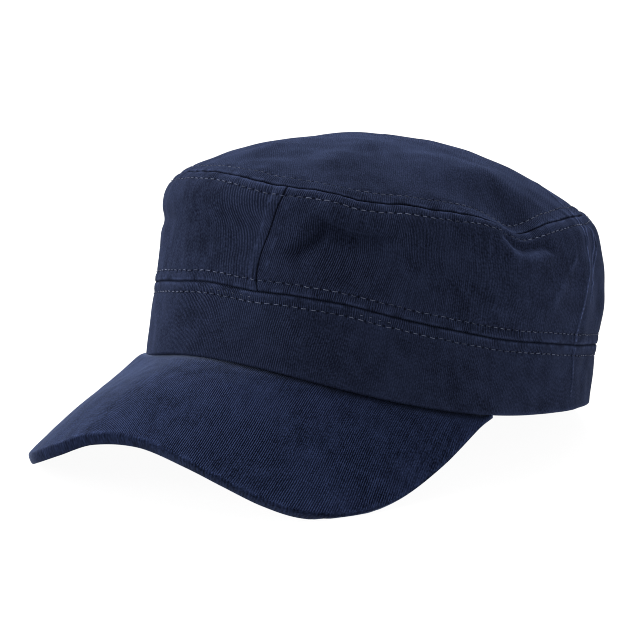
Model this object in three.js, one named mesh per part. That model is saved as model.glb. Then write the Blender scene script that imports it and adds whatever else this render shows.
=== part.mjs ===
// A soft cadet cap of washed cotton twill, standing by itself on a table.
// It rests on the back of its rim and on the two drooping sides of its peak.
// Millimetres, +Z up, the front of the cap towards -Y and the wearer's left towards +X.
import * as THREE from "three";
import { mergeVertices } from "three/addons/utils/BufferGeometryUtils.js";

const CLOTH = 2.0; // wall of two layers of twill
const SEAM_GAP = 0.3; // clearance between pieces that are sewn together
const TABLE_Z = 0; // cloth below this height is flattened on the table

// Levels of the crown, from the rim up to the middle of the top panel. Each is an oval whose
// widest place is at midY, with its height given at the front, the sides and the back.
// arch lowers the oval beside the front and lifts it behind the ears.
const LEVEL_COLUMNS = ["name", "halfWidth", "midY", "frontY", "backY", "frontZ", "sideZ", "backZ", "arch"];
const LEVELS = [
  ["rim", 85.7, 0, -99.5, 104, 49.6, 20.7, -0.8, 2.6],
  ["band_seam", 84.6, 5.3, -94.2, 110, 79, 49.4, 26, 0.5],
  ["wall_middle", 85.2, 9.8, -89.5, 114.5, 99, 73.5, 56, 0.6],
  ["shoulder", 82.5, 9.2, -88.5, 109.5, 114.5, 92, 78.5, 0.9],
  ["top_seam", 77.8, 10, -82, 103, 120.8, 98.3, 85.5, 1],
  ["top_ring", 46, 10, -44, 64, 126.4, 118.2, 107, 0],
  ["top_centre", 0, 10, 10, 10, 125.2, 125.2, 125.2, 0],
].map((row) => Object.fromEntries(row.map((value, column) => [LEVEL_COLUMNS[column], value])));
const rowOf = (name) => LEVELS.findIndex((level) => level.name === name);
const RIM = rowOf("rim");
const BAND_SEAM = rowOf("band_seam");
const TOP_SEAM = rowOf("top_seam");
const CENTRE = rowOf("top_centre");

// Soft dents in the crown: where each is deepest, how far it spreads and how deep it is.
// angle and spread are degrees round the cap from the front, row and rise count levels.
const DENTS = [
  { angle: 83, row: 3.7, spread: 8, rise: 0.6, depth: 5.0 }, // top edge pressed in above the ear
  { angle: 80, row: 2.6, spread: 9, rise: 0.3, depth: -1.2 }, // ridge pushed up under it
  { angle: 21, row: 2.25, spread: 6, rise: 0.35, depth: 1.6 }, // slanting hollow beside the front seam
  { angle: 38, row: 2.3, spread: 10, rise: 0.35, depth: 2.0 }, // the same hollow, fading backwards
  { angle: -50, row: 2.4, spread: 14, rise: 0.4, depth: 1.2 }, // fold across the right front
  { angle: 117, row: 2.1, spread: 6, rise: 1.1, depth: 1.8 }, // slack cloth behind the left ear
  { angle: 107, row: 2.0, spread: 4, rise: 1.8, depth: -0.8 }, // crease that runs up beside it
];

// The seams of the narrow front panel lean apart towards the top, in degrees from the front.
const FRONT_SEAM = { bottom: 11, top: 15 };
const BACK_SEAM = 180;

// The peak: a padded sheet from the rim to an edge that arches over the table.
const PEAK_END = 74; // degrees from the front where it runs out under the band
const PEAK_SEAT = 1.7; // how far its inner edge reaches in under the band
const PEAK_THICKNESS = 4.0;
const PEAK_END_THICKNESS = 1.6;
const PEAK_TAPER_FROM = 0.75; // share of the half length where it begins to thin
const PEAK_CROWNING = 4.5; // rise of the sheet's middle above a straight line from rim to edge
const PEAK_LIP = 1.0; // how far the rounded edge stands out
const LIP_UPPER = 0.3; // where the lip's two corners lie, as shares of the thickness below the top
const LIP_LOWER = 0.7;
const PEAK_EDGE = [
  { x: -83.2, y: -26.5, z: 25 },
  { x: -87, y: -66, z: 12.8 },
  { x: -86, y: -90, z: 4.6 },
  { x: -81, y: -112, z: 2 },
  { x: -72, y: -130.5, z: 5 },
  { x: -60.5, y: -140.6, z: 9.8 },
  { x: -44, y: -146.4, z: 16.3 },
  { x: -24, y: -148.4, z: 23.5 },
  { x: 0, y: -148.2, z: 27.4 },
  { x: 23.7, y: -147.4, z: 23 },
  { x: 41.6, y: -144.2, z: 15.8 },
  { x: 56.5, y: -137, z: 8.8 },
  { x: 67, y: -127.3, z: 4 },
  { x: 76.5, y: -110.5, z: 1.9 },
  { x: 82.3, y: -89, z: 4.4 },
  { x: 84.7, y: -63.3, z: 12.4 },
  { x: 83.2, y: -26.5, z: 25 },
];

// How finely the cloth is divided.
const ROUND_COLUMNS = 76;
const SIDE_COLUMNS = 36;
const FRONT_COLUMNS = 6;
const BAND_STEPS = 3;
const WALL_STEPS = 9;
const TOP_STEPS = 8;
const PEAK_COLUMNS = 44;
const PEAK_STEPS = 7;

const NAVY_TWILL = { color: 0x222c4c, roughness: 0.95, metalness: 0 };

const UP = new THREE.Vector3(0, 0, 1);
const ROW_PROBE = 0.01; // small steps for measuring the slopes of the surface
const TURN_PROBE = 0.1;
const WELD = 1e-4; // corners closer than this are one

// The point of a level at an angle, measured in degrees from the front towards the wearer's left.
function ringPoint(level, degrees) {
  const angle = THREE.MathUtils.degToRad(degrees);
  const forward = Math.cos(angle);
  const reach = forward > 0 ? level.midY - level.frontY : level.backY - level.midY;
  const mean = (level.frontZ + 2 * level.sideZ + level.backZ) / 4;
  const pitch = (level.frontZ - level.backZ) / 2;
  const saddle = (level.frontZ - 2 * level.sideZ + level.backZ) / 4;
  const bow = level.arch * (Math.cos(3 * angle) - forward);
  const z = mean + pitch * forward + saddle * Math.cos(2 * angle) + bow;
  return new THREE.Vector3(level.halfWidth * Math.sin(angle), level.midY - reach * forward, z);
}

// The crown's smooth outer surface: a curve through all levels at one angle. It runs on past the
// middle to the far side of the dome, so that the top is round there.
function skin(degrees, row) {
  const points = LEVELS.map((level) => ringPoint(level, degrees));
  points.push(ringPoint(LEVELS[CENTRE - 1], degrees + 180));
  return new THREE.CatmullRomCurve3(points).getPoint(Math.max(row, RIM) / (points.length - 1));
}

function skinNormal(degrees, row) {
  if (row >= CENTRE) return UP.clone();
  const along = skin(degrees + TURN_PROBE, row).sub(skin(degrees - TURN_PROBE, row));
  const upward = skin(degrees, row + ROW_PROBE).sub(skin(degrees, row - ROW_PROBE));
  const normal = along.cross(upward);
  if (row === RIM) normal.z = 0;
  return normal.normalize();
}

function dentDepth(degrees, row) {
  return DENTS.reduce((sum, dent) => {
    const turn = THREE.MathUtils.euclideanModulo(degrees - dent.angle + 180, 360) - 180;
    const fade = (turn / dent.spread) ** 2 + ((row - dent.row) / dent.rise) ** 2;
    return sum + dent.depth * Math.exp(-fade);
  }, 0);
}

const onTable = (point) => point.setZ(Math.max(point.z, TABLE_Z));

// Millimetres of cloth for each row, just above (side 1) or just below (side -1) a seam.
function rowLength(degrees, row, side) {
  return skin(degrees, row + side * ROW_PROBE).distanceTo(skin(degrees, row)) / ROW_PROBE;
}

// One column of a cloth wall: its outer points from bottom to top, then its inner ones back down.
// Cut edges at a seam stand back by half the seam's clearance.
function clothSection(angleAt, bottomRow, topRow, steps) {
  const half = SEAM_GAP / 2;
  const lowest = bottomRow === RIM ? RIM : bottomRow + half / rowLength(angleAt(bottomRow), bottomRow, 1);
  const highest = topRow === CENTRE ? CENTRE : topRow - half / rowLength(angleAt(topRow), topRow, -1);
  const outer = [];
  const inner = [];
  for (let step = 0; step <= steps; step++) {
    const row = THREE.MathUtils.lerp(lowest, highest, step / steps);
    const degrees = angleAt(row);
    const normal = skinNormal(degrees, row);
    const point = skin(degrees, row).addScaledVector(normal, -dentDepth(degrees, row));
    outer.push(onTable(point));
    inner.push(onTable(point.clone().addScaledVector(normal, -CLOTH)));
  }
  return [...outer, ...inner.reverse()];
}

// A closed solid through a row of closed sections, joined end to end or capped at both ends.
function loft(sections, joined) {
  const count = sections[0].length;
  const faces = [];
  const triangle = (a, b, c) => faces.push(a, b, c);
  const index = (section, point) => (section % sections.length) * count + (point % count);
  const spans = joined ? sections.length : sections.length - 1;
  for (let s = 0; s < spans; s++) {
    for (let p = 0; p < count; p++) {
      triangle(index(s, p), index(s + 1, p), index(s + 1, p + 1));
      triangle(index(s, p), index(s + 1, p + 1), index(s, p + 1));
    }
  }
  const last = sections.length - 1;
  for (let p = 0; !joined && p < count / 2 - 1; p++) {
    const q = count - 1 - p;
    triangle(index(0, p), index(0, p + 1), index(0, q - 1));
    triangle(index(0, p), index(0, q - 1), index(0, q));
    triangle(index(last, p + 1), index(last, p), index(last, q - 1));
    triangle(index(last, q - 1), index(last, p), index(last, q));
  }
  const geometry = new THREE.BufferGeometry().setFromPoints(sections.flat());
  geometry.setIndex(faces);
  return withoutSlivers(mergeVertices(geometry, WELD));
}

// Drops the triangles that have no area, such as those at the middle of the top panel.
function withoutSlivers(geometry) {
  const old = geometry.getIndex().array;
  const kept = [];
  for (let i = 0; i < old.length; i += 3) {
    const [a, b, c] = [old[i], old[i + 1], old[i + 2]];
    if (a !== b && b !== c && c !== a) kept.push(a, b, c);
  }
  geometry.setIndex(kept);
  geometry.computeVertexNormals();
  return geometry;
}

function sewnPiece(name, geometry, finish) {
  const piece = new THREE.Mesh(geometry, new THREE.MeshStandardMaterial(finish));
  piece.name = name;
  return piece;
}

// A ring of cloth right round the cap, between two levels.
function clothRing(bottomRow, topRow, steps) {
  const sections = [];
  for (let c = 0; c < ROUND_COLUMNS; c++) {
    const degrees = (360 * c) / ROUND_COLUMNS;
    sections.push(clothSection(() => degrees, bottomRow, topRow, steps));
  }
  return loft(sections, true);
}

// A panel of the crown's wall between two upright seams, given as functions of the row.
function wallPanel(fromAngle, toAngle, columns) {
  const sections = [];
  const half = THREE.MathUtils.radToDeg(SEAM_GAP / 2 / LEVELS[TOP_SEAM].halfWidth);
  for (let c = 0; c <= columns; c++) {
    const share = c / columns;
    const angleAt = (row) => THREE.MathUtils.lerp(fromAngle(row) + half, toAngle(row) - half, share);
    sections.push(clothSection(angleAt, BAND_SEAM, TOP_SEAM, WALL_STEPS));
  }
  return loft(sections, false);
}

// The upright seams, as angles that depend on the row.
function leftSeam(row) {
  const share = (row - BAND_SEAM) / (TOP_SEAM - BAND_SEAM);
  return THREE.MathUtils.lerp(FRONT_SEAM.bottom, FRONT_SEAM.top, share);
}
const rightSeam = (row) => -leftSeam(row);
const backSeam = () => BACK_SEAM;

// The peak's upper face as columns of points, each from the outer edge back to its seat.
function peakFace() {
  const edge = new THREE.CatmullRomCurve3(PEAK_EDGE.map(({ x, y, z }) => new THREE.Vector3(x, y, z)));
  const edgePoints = edge.getSpacedPoints(PEAK_COLUMNS);
  const frontWidth = LEVELS[RIM].frontY - Math.min(...PEAK_EDGE.map(({ y }) => y));
  return edgePoints.map((outermost, c) => {
    const degrees = THREE.MathUtils.lerp(-PEAK_END, PEAK_END, c / PEAK_COLUMNS);
    const seat = skin(degrees, RIM).addScaledVector(skinNormal(degrees, RIM), -PEAK_SEAT);
    seat.z -= SEAM_GAP;
    const rise = (PEAK_CROWNING * Math.min(seat.distanceTo(outermost), frontWidth)) / frontWidth;
    const column = [];
    for (let step = 0; step <= PEAK_STEPS; step++) {
      const share = step / PEAK_STEPS;
      const point = outermost.clone().lerp(seat, share);
      point.z += rise * 4 * share * (1 - share);
      column.push(point);
    }
    return column;
  });
}

// Sections of the padded peak: a rounded lip, the upper face to the seat, and the under face back.
function peakSections() {
  const face = peakFace();
  const last = face.length - 1;
  return face.map((column, c) => {
    const before = face[Math.max(c - 1, 0)];
    const after = face[Math.min(c + 1, last)];
    const normals = column.map((_, r) => {
      const along = after[r].clone().sub(before[r]);
      const inward = column[Math.min(r + 1, PEAK_STEPS)].clone().sub(column[Math.max(r - 1, 0)]);
      return along.cross(inward).normalize();
    });
    const endShare = Math.abs(c / (last / 2) - 1);
    const taper = THREE.MathUtils.smoothstep(endShare, PEAK_TAPER_FROM, 1);
    const thickness = THREE.MathUtils.lerp(PEAK_THICKNESS, PEAK_END_THICKNESS, taper);
    const outward = column[0].clone().sub(column[1]).setLength((PEAK_LIP * thickness) / PEAK_THICKNESS);
    const lip = (depth) => column[0].clone().add(outward).addScaledVector(normals[0], -depth * thickness);
    const under = column.map((point, r) => point.clone().addScaledVector(normals[r], -thickness));
    return [lip(LIP_UPPER), ...column, ...under.reverse(), lip(LIP_LOWER)].map(onTable);
  });
}

const cap = new THREE.Group();
cap.name = "cadet_cap";
cap.add(sewnPiece("band", clothRing(RIM, BAND_SEAM, BAND_STEPS), NAVY_TWILL));
cap.add(sewnPiece("crown_front", wallPanel(rightSeam, leftSeam, FRONT_COLUMNS), NAVY_TWILL));
cap.add(sewnPiece("crown_left", wallPanel(leftSeam, backSeam, SIDE_COLUMNS), NAVY_TWILL));
cap.add(sewnPiece("crown_right", wallPanel((row) => -backSeam(row), rightSeam, SIDE_COLUMNS), NAVY_TWILL));
cap.add(sewnPiece("crown_top", clothRing(TOP_SEAM, CENTRE, TOP_STEPS), NAVY_TWILL));
cap.add(sewnPiece("peak", loft(peakSections(), false), NAVY_TWILL));

// The origin is on the table, under the middle of the whole cap.
const bounds = new THREE.Box3().setFromObject(cap);
const middle = bounds.getCenter(new THREE.Vector3());
cap.position.set(-middle.x, -middle.y, -bounds.min.z);

export default cap;
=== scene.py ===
import bpy
import numpy as np
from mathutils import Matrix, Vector


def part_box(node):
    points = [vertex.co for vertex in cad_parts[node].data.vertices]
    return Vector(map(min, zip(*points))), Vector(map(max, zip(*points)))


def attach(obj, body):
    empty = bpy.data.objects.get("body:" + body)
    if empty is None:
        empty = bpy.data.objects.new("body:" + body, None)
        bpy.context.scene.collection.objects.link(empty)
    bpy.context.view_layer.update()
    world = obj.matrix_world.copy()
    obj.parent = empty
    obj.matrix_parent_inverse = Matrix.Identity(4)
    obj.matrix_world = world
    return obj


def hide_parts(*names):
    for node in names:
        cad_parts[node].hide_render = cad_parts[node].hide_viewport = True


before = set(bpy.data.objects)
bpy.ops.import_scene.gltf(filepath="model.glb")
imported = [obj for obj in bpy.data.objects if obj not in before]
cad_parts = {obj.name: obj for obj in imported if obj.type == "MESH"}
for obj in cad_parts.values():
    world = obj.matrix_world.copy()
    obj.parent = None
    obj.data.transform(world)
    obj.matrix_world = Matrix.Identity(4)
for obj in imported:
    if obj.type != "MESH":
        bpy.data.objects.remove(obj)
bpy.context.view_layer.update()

# The head band is a strip of washed navy cotton twill, two layers thick, that goes round the head.
# Its lower edge is a fold, and its upper edge is rolled under, sewn to the crown and topstitched.

MM = 0.001
CLOTH = 2.0  # millimetres, as are all the sizes below
PROUD = 0.6  # how far the soft cloth stands out from the plain solids
TABLE_Z = 0.0

# Ovals that shape the whole cap, from the rim up to the middle of the top: half width, y of the widest
# place, y at front and back, height at front, sides and back, and how much it dips beside the front.
OVALS = {
    "rim": (85.7, 0, -99.5, 104, 49.6, 20.7, -0.8, 2.6),
    "band_seam": (84.6, 5.3, -94.2, 110, 79, 49.4, 26, 0.5),
    "wall_middle": (85.2, 9.8, -89.5, 114.5, 99, 73.5, 56, 0.6),
    "shoulder": (82.5, 9.2, -88.5, 109.5, 114.5, 92, 78.5, 0.9),
    "top_seam": (77.8, 10, -82, 103, 120.8, 98.3, 85.5, 1),
    "top_ring": (46, 10, -44, 64, 126.4, 118.2, 107, 0),
    "top_centre": (0, 10, 10, 10, 125.2, 125.2, 125.2, 0),
}
RIM, BAND_SEAM, WALL_MIDDLE, SHOULDER, TOP_SEAM, TOP_RING, CENTRE = range(len(OVALS))

# The solids stand with their middle over the origin, so the ovals move with the band's own box.
band_low, band_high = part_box("band")
shift = np.array([(band_low.x + band_high.x) / 2, band_low.y - OVALS["rim"][2] * MM, 0])


def oval(name, angle):
    """Points of one oval at angles in degrees from the front towards the wearer's left."""
    half_width, mid_y, front_y, back_y, front_z, side_z, back_z, arch = OVALS[name]
    turn = np.radians(angle)
    forward = np.cos(turn)
    reach = np.where(forward > 0, mid_y - front_y, back_y - mid_y)
    z = (front_z + 2 * side_z + back_z) / 4 + (front_z - back_z) / 2 * forward
    z = z + (front_z - 2 * side_z + back_z) / 4 * np.cos(2 * turn) + arch * (np.cos(3 * turn) - forward)
    return np.stack([half_width * np.sin(turn), mid_y - reach * forward, z], -1)


def curve_through(points, place):
    """A smooth curve through points[0], points[1] and so on, read at fractional places along it."""
    count = len(points)
    first = np.clip(np.floor(place), 0, count - 2).astype(int)
    share = (place - first)[..., None]

    def pick(index):
        return np.take_along_axis(points, np.clip(index, 0, count - 1)[None, ..., None], 0)[0]

    def knot(a, b):
        return np.maximum(((a - b) ** 2).sum(-1, keepdims=True), 1e-9) ** 0.25

    start, end = pick(first), pick(first + 1)
    before = np.where((first > 0)[..., None], pick(first - 1), 2 * start - end)
    after = np.where((first < count - 2)[..., None], pick(first + 2), 2 * end - start)
    k0, k1, k2 = knot(before, start), knot(start, end), knot(end, after)
    leave = ((start - before) / k0 - (end - before) / (k0 + k1) + (end - start) / k1) * k1
    arrive = ((end - start) / k1 - (after - start) / (k1 + k2) + (after - end) / k2) * k1
    cubic = (2 * start - 2 * end + leave + arrive) * share**3
    square = (3 * end - 3 * start - 2 * leave - arrive) * share**2
    return start + leave * share + square + cubic


def skin(angle, row):
    """The smooth form of the cap: row 0 is the rim, 1 the band's seam, and so on up the ovals.
    The curve runs on past the middle of the top, so that the top is round there."""
    angle, row = np.broadcast_arrays(np.asarray(angle, float), np.asarray(row, float))
    points = np.stack([oval(name, angle) for name in OVALS] + [oval("top_ring", angle + 180)])
    return curve_through(points, row)


def skin_facing(angle, row):
    """The directions in which the smooth form faces."""
    turn, step, tiny = 0.1, 0.01, 1e-9
    around = skin(angle + turn, row) - skin(angle - turn, row)
    upward = skin(angle, row + step) - skin(angle, row - step)
    facing = np.cross(around, upward)
    length = np.linalg.norm(facing, axis=-1, keepdims=True)
    return np.where(length > tiny, facing / np.maximum(length, tiny), (0, 0, 1))


def waves(points, size, seed):
    """Soft random waves of about that size through space, mostly between -1 and 1."""
    draw = np.random.default_rng(seed)
    count = 18
    heading = draw.normal(size=(count, 3))
    heading *= draw.uniform(0.7, 1.4, (count, 1)) / np.linalg.norm(heading, axis=1, keepdims=True)
    phase = draw.uniform(0, 2 * np.pi, count)
    return np.sin(points @ heading.T * 2 * np.pi / size + phase).sum(-1) / np.sqrt(count)


def patches(points, size, seed, middle, swing):
    """Random patches of about that size, between 0 and 1."""
    return np.clip(middle + swing * waves(points, size, seed), 0, 1)


def bell(value):
    """1 at nought, and fading away on both sides of it."""
    return np.exp(-(value**2))


def ramp(value, first, last):
    """A smooth step from 0 to 1 between two values."""
    share = np.clip((value - first) / (last - first), 0, 1)
    return share * share * (3 - 2 * share)


# Soft dents: where each is deepest, how far it spreads round and up the cap, and its depth.
DENTS = [
    {"angle": 86.5, "row": 3.7, "spread": 7.6, "rise": 0.5, "depth": 1.5},  # top edge pressed in
    {"angle": 83.5, "row": 4.22, "spread": 13, "rise": 0.24, "depth": 3.2},  # hollow of the top beside it
    {"angle": 83, "row": 4.72, "spread": 14, "rise": 0.2, "depth": -3.0},  # fullness above the hollow
    {"angle": 82, "row": 2.5, "spread": 9, "rise": 0.35, "depth": -0.7},  # bulge under it
    {"angle": 36, "row": 2.3, "spread": 9, "rise": 0.3, "depth": 1.5},  # hollow under the slanting tuck
    {"angle": 16, "row": 1.4, "spread": 4, "rise": 0.2, "depth": 0.8},  # slack beside the front seam
    {"angle": -40, "row": 2.2, "spread": 14, "rise": 0.2, "depth": 1.3},  # fold at the right front
    {"angle": 117, "row": 2.1, "spread": 6, "rise": 1.1, "depth": 1.8},  # slack behind the left ear
    {"angle": 107, "row": 2.0, "spread": 4, "rise": 1.8, "depth": -0.8},  # ridge beside it
    {"angle": 128, "row": 1.4, "spread": 12, "rise": 0.35, "depth": -1.5},  # swelling behind it
    {"angle": 121, "row": 3.6, "spread": 10, "rise": 0.5, "depth": 0.8},  # slack back corner of the wall
    {"angle": 136, "row": 4.2, "spread": 14, "rise": 0.5, "depth": 1.1},  # slack back corner of the top
    {"angle": 122, "row": 5.6, "spread": 40, "rise": 0.3, "depth": -0.9},  # fullness of the top
    {"angle": -64, "row": 5.25, "spread": 22, "rise": 0.6, "depth": 1.75},  # flat right side of the top
]

# Soft ridges and valleys along paths of (angle, row) places, with their width and height.
FOLDS = [
    {"path": [(113, 3.5), (118, 3.1), (124, 2.9)], "width": 2.2, "height": 0.5},
    {"path": [(-10, 4.38), (-14, 4.8), (-22, 5.2)], "width": 7, "height": 1.3},
    {"path": [(20, 4.35), (23, 4.9), (23, 5.7)], "width": 8, "height": 1.5},
    {"path": [(9, 4.45), (9, 5.3)], "width": 7, "height": -0.9},
    {"path": [(56, 4.6), (64, 4.9), (70, 5.3)], "width": 9, "height": 1.2},
]

# Tucks: the cloth on one side of a path lies in that deep and has that much painted shade, and on the other
# side it bulges by a share of the depth. Above 0 the cloth below the path lies in, and below 0 the cloth
# above it.
TUCKS = [
    {"path": [(16, 1.9), (20, 2.06), (23, 2.32), (26.2, 2.72), (30, 2.72), (35, 2.61), (41, 2.64),
              (48, 2.72)],
     "width": 4.2, "height": 4.4, "bulge": 0.28, "shade": 0.32},
    {"path": [(74.5, 3.1), (76.2, 2.88), (78, 2.68), (81.5, 2.6), (85, 2.64), (88.5, 2.66), (93, 2.56)],
     "width": 3.8, "height": -2.0, "bulge": 0.7, "shade": 0.12},
]

# Creases, as folds are, and how pale they are made over what width of their crests: rubbed, and along one of
# them also a painted highlight.
CREASES = [
    {"path": [(125, 4.68), (120.5, 4.52), (115.5, 4.26), (113, 3.87), (112, 3.28), (110.3, 2.81), (109, 2.4),
              (107.5, 2.05), (105.8, 1.56), (104.8, 1.04), (105, 0.6), (105, 0.1)],
     "width": 1.0, "height": 0.5, "rubbed": 1.15, "crest": 0.55},
    {"path": [(114.5, 4.1), (115.4, 3.85), (115.3, 3.41), (113.8, 2.95), (111.2, 2.6)],
     "width": 0.9, "height": 0.4, "rubbed": 0.75, "crest": 0.5},
    {"path": [(119, 3.5), (119.8, 3.1), (119, 2.75), (116.4, 2.5), (113.6, 2.3), (112.5, 2.1), (113.5, 1.85),
              (116, 1.6)],
     "width": 0.9, "height": 0.5, "rubbed": 0.85, "crest": 0.5},
    {"path": [(122, 3.0), (121.5, 2.7), (119.5, 2.48), (116.6, 2.26), (113.8, 2.07), (111.5, 1.85),
              (110, 1.6)],
     "width": 0.9, "height": 0.4, "rubbed": 0.85, "crest": 0.5},
    {"path": [(102.2, 2.75), (102, 2.57), (100.5, 2.38), (98, 2.18)],
     "width": 1.6, "height": 0.4, "rubbed": 0.18, "crest": 1},
    {"path": [(98, 2.2), (94, 1.85), (90, 1.5)], "width": 3.5, "height": 0.5, "rubbed": 0.13, "crest": 2.4},
    # Pale along the bulge under the pressed-in edge: partly rubbed wear, and partly a painted highlight where
    # its crest catches the light from above.
    {"path": [(74.8, 3.09), (76.2, 2.86), (78, 2.64), (81.5, 2.56), (85, 2.6), (88.5, 2.62), (93, 2.52)],
     "width": 2, "height": 0.2, "rubbed": 0.22, "crest": 2.3},
]
PATH_STEPS = 80
PATH_FADE = 0.8  # how much of the first and last stretch of a path is fading in and out
PATH_MARGIN = 3  # how many of its widths a path is felt away from it
FAR = 1e3


def beside(path, reach, angle, row, point):
    """How far points lie above a path of (angle, row) places, and how strong it is beside them.
    Points many times further than reach away are left out."""
    places = np.array(path, float)[:, None].repeat(PATH_STEPS, 1)
    place = np.linspace(0, len(path) - 1, PATH_STEPS)
    way = skin(*np.moveaxis(curve_through(places, place), -1, 0))
    margin = PATH_MARGIN * reach
    near = ((point > way.min(0) - margin) & (point < way.max(0) + margin)).all(-1)
    gap = np.full(near.shape, FAR)
    strength = np.zeros(near.shape)
    if near.any():
        offset = point[near][:, None] - way
        nearest = np.linalg.norm(offset, axis=-1).argmin(-1)
        offset = offset[np.arange(len(offset)), nearest]
        upward = np.cross(skin_facing(angle[near], row[near]), np.gradient(way, axis=0)[nearest])
        gap[near] = np.copysign(np.linalg.norm(offset, axis=-1), (offset * upward).sum(-1))
        strength[near] = ramp(np.minimum(place, place[::-1])[nearest], 0, PATH_FADE)
    return gap, strength


SLACK = [(0.3, 42), (0.15, 15)]  # height and size of the soft waves all over the cloth


def form_height(angle, row, point):
    """How far the cloth lies outside the smooth form, without the detail at its seams."""
    angle, row = np.broadcast_arrays(angle, row)
    height = PROUD
    for seed, (rise, size) in enumerate(SLACK, 1):
        height = height + rise * waves(point, size, seed)
    for dent in DENTS:
        turn = (angle - dent["angle"] + 180) % 360 - 180
        fade = (turn / dent["spread"]) ** 2 + ((row - dent["row"]) / dent["rise"]) ** 2
        height = height - dent["depth"] * np.exp(-fade)
    for fold in FOLDS + CREASES:
        gap, strength = beside(fold["path"], fold["width"], angle, row, point)
        height = height + fold["height"] * strength * bell(gap / fold["width"])
    for tuck in TUCKS:
        gap, strength = beside(tuck["path"], tuck["width"], angle, row, point)
        side = gap / tuck["width"]
        rise = tuck["height"] * np.sqrt(2 * np.e) * side * bell(side)
        height = height + strength * np.where(rise > 0, tuck["bulge"] * rise, rise)
    return height


def crease_wear_and_highlight(angle, row, point):
    """Pale rubbed cloth along the crests of the creases, and a painted highlight along one of them."""
    wear_and_highlight = np.zeros(point.shape[:-1])
    patch = patches(point, 9, 35, middle=0.75, swing=0.45)
    for crease in CREASES:
        gap, strength = beside(crease["path"], crease["width"], angle, row, point)
        wear_and_highlight = np.maximum(wear_and_highlight, crease["rubbed"] * patch * strength * bell(gap / crease["crest"]))
    return wear_and_highlight


TUCK_SHADE_PLACE, TUCK_SHADE_SPREAD = 0.35, 0.45  # shares of a tuck's width, from its path


def tuck_shade(angle, row, point):
    """Painted shade where the cloth lies in beside the tucks."""
    shade = np.zeros(point.shape[:-1])
    for tuck in TUCKS:
        gap, strength = beside(tuck["path"], tuck["width"], angle, row, point)
        inward = -np.sign(tuck["height"]) * gap / tuck["width"]
        dark = bell((inward - TUCK_SHADE_PLACE) / TUCK_SHADE_SPREAD)
        shade = np.maximum(shade, tuck["shade"] * strength * dark)
    return shade


CREASED = (100, 127)  # degrees between which the cloth has its sharp creases
CREASED_STEP = 0.3


def with_close_columns(angles):
    """The same angles, with close ones where the cloth has sharp creases."""
    first, last = CREASED
    outside = angles[(angles < first - CREASED_STEP / 2) | (angles > last)]
    return np.sort(np.concatenate([outside, np.arange(first, last, CREASED_STEP)]))


def run_along(points):
    """Distance along each line of points, the points being counted by the last axis but one."""
    steps = np.linalg.norm(np.diff(points, axis=-2), axis=-1)
    return np.concatenate([np.zeros_like(steps[..., :1]), np.cumsum(steps, -1)], -1)


STITCH_PITCH = {BAND_SEAM: 3.8, TOP_SEAM: 3.5}
ROUND_ANGLES = np.linspace(-180, 180, 1441)


def along_seam(row, angle):
    """Distance along a seam that goes right round, and the same counted in stitches."""
    run = run_along(skin(ROUND_ANGLES, row))
    distance = np.interp(angle, ROUND_ANGLES, run)
    return distance, distance * round(run[-1] / STITCH_PITCH[row]) / run[-1]


# Neither round seam runs quite true: (angle, rows up or down) places where it wanders.
WANDER = {
    BAND_SEAM: [(-80, 0), (-50, -0.055), (-18, -0.03), (-6, 0.018), (2, 0), (10, -0.012), (20, 0.035),
                (28, 0.052), (35, 0.064), (42, 0.036), (48, 0.016), (54, 0), (67, -0.014), (74, -0.025),
                (82, -0.014), (90, 0.014), (119, 0.016), (150, 0)],
    TOP_SEAM: [(-40, 0), (-14, 0.03), (-8, 0.045), (-3, 0), (2, -0.06), (6, -0.12), (10, -0.17), (17, -0.165),
               (22, -0.08), (31, -0.07), (36, -0.15), (41, -0.09), (47, 0.02), (58, 0.037), (64, 0.031),
               (69, 0.049), (77, -0.02), (84, -0.05), (91, -0.145), (97, -0.07), (104, 0.02), (112, 0.03),
               (130, 0)],
}
WANDER_SMOOTHING = 21  # quarter degrees


def seam_place(row, angle):
    """The row of a seam at each angle, which is not quite the row of its oval."""
    if row not in WANDER:
        return row + 0 * angle
    blur = np.hanning(WANDER_SMOOTHING)
    drift = np.interp(ROUND_ANGLES, *np.transpose(WANDER[row]))
    drift = np.convolve(np.pad(drift, WANDER_SMOOTHING // 2, mode="edge"), blur / blur.sum(), mode="valid")
    return row + np.interp(angle, ROUND_ANGLES, drift)


SEAM_ROLL = 0.8  # radius of the rolled edge of cloth at a seam
SEAM_SWELL = 0.2  # rise between a seam and its row of stitches
STITCH_LINE = 4.4  # distance of a row of stitches from its seam
STITCH_DIP, STITCH_DIP_WIDTH = 0.25, 0.8

# Puckers beside a seam: their height and size, and a seed to which each seam adds its row.
FINE_PUCKER = {"height": 0.1, "size": 3.6, "seed": 11}
BROAD_PUCKER = {"height": 0.2, "size": 12, "seed": 21, "reach": 13}
PUCKER_LEAN = 0.25  # degrees for each millimetre away from the seam


def rolled_edge(distance, radius):
    """How far an edge of cloth turns down near a seam or a fold."""
    inside = np.clip(radius - distance, 0, radius)
    return np.sqrt(radius**2 - inside**2) - radius


def strip(distance, width):
    """1 in a strip of cloth beside a seam, fading at its far side."""
    return np.exp(-((distance / width) ** 4))


def sewn_edge(angle, distance, seam_row, stitch_line=STITCH_LINE):
    """Height of cloth beside a topstitched seam: rolled edge, swell, dip under the stitches, puckers."""
    swell = SEAM_SWELL * np.sin(np.pi * np.clip(distance / stitch_line, 0, 1))
    dip = STITCH_DIP * bell((distance - stitch_line) / STITCH_DIP_WIDTH)
    leaning = skin(angle + PUCKER_LEAN * distance, seam_row)
    fine, broad = (
        pucker["height"] * waves(leaning, pucker["size"], pucker["seed"] + seam_row)
        for pucker in (FINE_PUCKER, BROAD_PUCKER)
    )
    fine = fine * strip(distance, stitch_line)
    broad = broad * bell(distance / BROAD_PUCKER["reach"])
    return rolled_edge(distance, SEAM_ROLL) + swell - dip + fine + broad


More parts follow.
